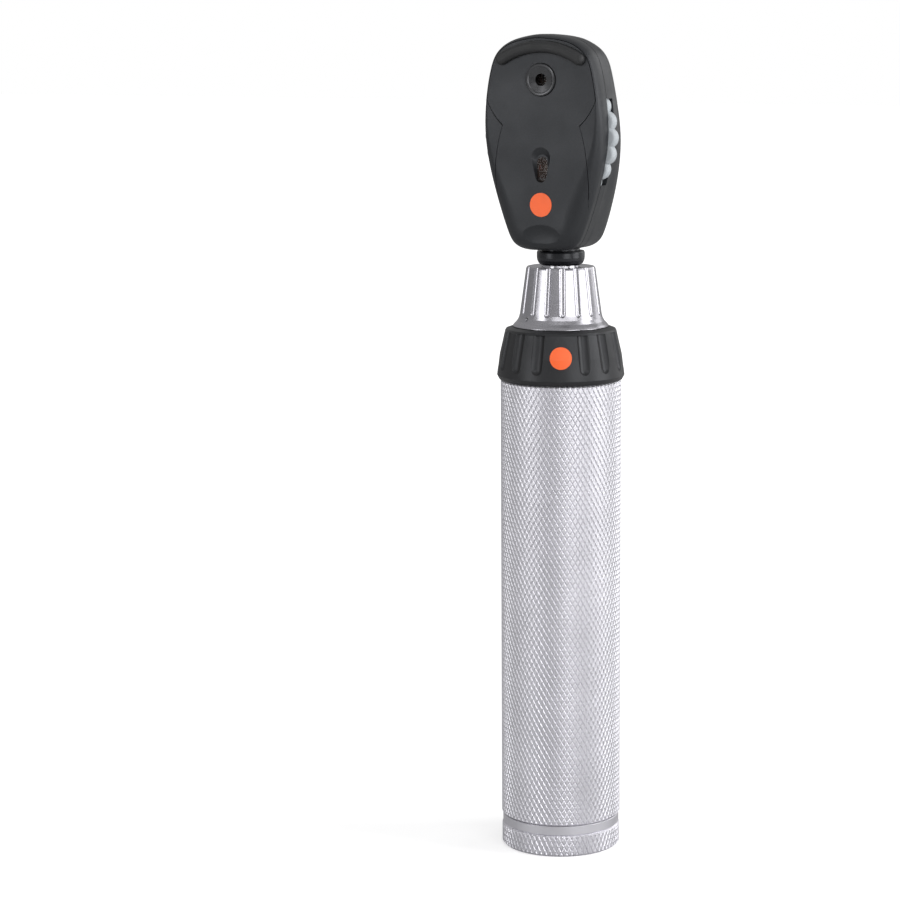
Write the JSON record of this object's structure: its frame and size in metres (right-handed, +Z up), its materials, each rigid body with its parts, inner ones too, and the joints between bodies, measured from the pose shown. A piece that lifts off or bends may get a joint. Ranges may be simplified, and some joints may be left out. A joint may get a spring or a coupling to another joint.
{
  "type": "ophthalmoscope",
  "caption": "Handheld eye examination scope: oval head with lens wheel, sight hole and brow pad on a fluted cone and a knurled rechargeable handle that stands on its foot.",
  "frame": {"origin": "centre of the flat base that the handle stands on", "axes": "+Z up along the handle's axis, -Y is the side the practitioner looks into, +X is to that person's right hand side of the picture"},
  "size_m": [0.0352, 0.0318, 0.204],
  "materials": {
    "head_black": "fine textured matte black",
    "brow_rubber": "soft matte black",
    "sight_black": "turned, satin black",
    "clear_glass": "clear polished",
    "mirror_coat": "front coated",
    "badge_orange": "smooth orange inlay",
    "steel_small": "machined",
    "inner_black": "moulded",
    "board_green": "circuit board",
    "led_body": "phosphor and clear dome",
    "brass_part": "gold plated",
    "wheel_grey": "light grey, soft",
    "dial_print": "printed dial",
    "wheel_black": "fine matte black",
    "blue_glass": "cobalt blue",
    "green_glass": "red-free green",
    "neck_black": "satin black",
    "plug_metal": "nickel plated",
    "ring_black": "matte black, moulded grip grooves",
    "seal_rubber": "black seal",
    "cone_silver": "turned and anodised, bright satin",
    "tube_silver": "diamond knurled, satin anodised",
    "band_silver": "turned satin",
    "battery_wrap": "shrink sleeve",
    "battery_metal": "nickel plated",
    "light_green": "frosted light pipe"
  },
  "bodies": {
    "handle": {"handle_tube": "tube_silver", "upper_insert": "band_silver", "top_cone": "cone_silver", "cone_set_screw": "steel_small", "ring_seal": "seal_rubber", "rheostat_track": "board_green", "contact_housing": "inner_black", "positive_contact": "brass_part", "battery_pack": "battery_wrap", "battery_terminal": "battery_metal", "socket_spring_ring": "steel_small"},
    "brightness_ring": {"brightness_ring": "ring_black", "ring_badge": "badge_orange", "ring_wiper": "brass_part"},
    "contact_pin": {"contact_pin": "brass_part", "contact_spring": "steel_small"},
    "spring_seat": {"insulating_washer": "inner_black", "battery_spring": "steel_small"},
    "end_insert": {"end_insert": "band_silver", "end_cap": "tube_silver", "usb_socket": "steel_small", "usb_tongue": "inner_black", "charger_board": "board_green", "charge_light": "light_green"},
    "head": {"front_cover": "head_black", "mid_frame": "head_black", "rear_cover": "head_black", "brow_rest": "brow_rubber", "eyepiece_cone": "sight_black", "eyepiece_glass": "clear_glass", "dioptre_window": "clear_glass", "face_badge": "badge_orange", "cover_screws": "steel_small", "optics_carrier": "inner_black", "mirror": "mirror_coat", "objective_lens": "clear_glass", "condenser_lens": "clear_glass", "patient_window": "clear_glass", "led_board": "board_green", "led_module": "led_body", "aperture_axle": "steel_small", "detent_spring": "brass_part", "wheel_axle": "steel_small", "axle_clip": "steel_small", "neck_collar": "neck_black", "bayonet_plug": "plug_metal", "contact_insulator": "inner_black", "head_contact": "brass_part"},
    "lens_wheel": {"lens_wheel": "wheel_grey", "lens_set": "clear_glass", "number_disc": "dial_print"},
    "aperture_wheel": {"aperture_wheel": "wheel_black", "aperture_plate": "inner_black", "blue_filter": "blue_glass"},
    "filter_slide": {"filter_lever": "wheel_black", "redfree_filter": "green_glass"}
  },
  "joints": [
    {"name": "brightness_ring_turn", "type": "hinge", "parent": "handle", "child": "brightness_ring", "pos_m": [0, 0, 0.125], "axis": [0, 0, 1], "range_deg": [-150, 0]},
    {"name": "contact_pin_travel", "type": "slide", "parent": "handle", "child": "contact_pin", "axis": [0, 0, 1], "range_m": [-0.0012, 0], "stiffness_N_per_m": 400, "springref_m": 0.0015, "deforming": ["contact_spring"]},
    {"name": "end_cap_travel", "type": "slide", "parent": "handle", "child": "spring_seat", "axis": [0, 0, -1], "range_m": [0, 0.006]},
    {"name": "end_cap_turn", "type": "hinge", "parent": "spring_seat", "child": "end_insert", "pos_m": [0, 0, 0.005], "axis": [0, 0, 1], "range_deg": [0, 1440]},
    {"name": "head_lift_off", "type": "slide", "parent": "handle", "child": "head", "axis": [0, 0, 1], "range_m": [0, 0.016]},
    {"name": "lens_wheel_spin", "type": "hinge", "parent": "head", "child": "lens_wheel", "pos_m": [0, -0.0058, 0.1792], "axis": [0, -1, 0], "continuous": true},
    {"name": "aperture_wheel_spin", "type": "hinge", "parent": "head", "child": "aperture_wheel", "pos_m": [0, 0.0032, 0.1649], "axis": [0, 0, 1], "continuous": true},
    {"name": "filter_slide_travel", "type": "slide", "parent": "head", "child": "filter_slide", "axis": [1, 0, 0], "range_m": [0, 0.004]}
  ],
  "couplings": [
    {"joint": "end_cap_travel", "follows": "end_cap_turn", "m_per_rad": 0.00023873}
  ]
}
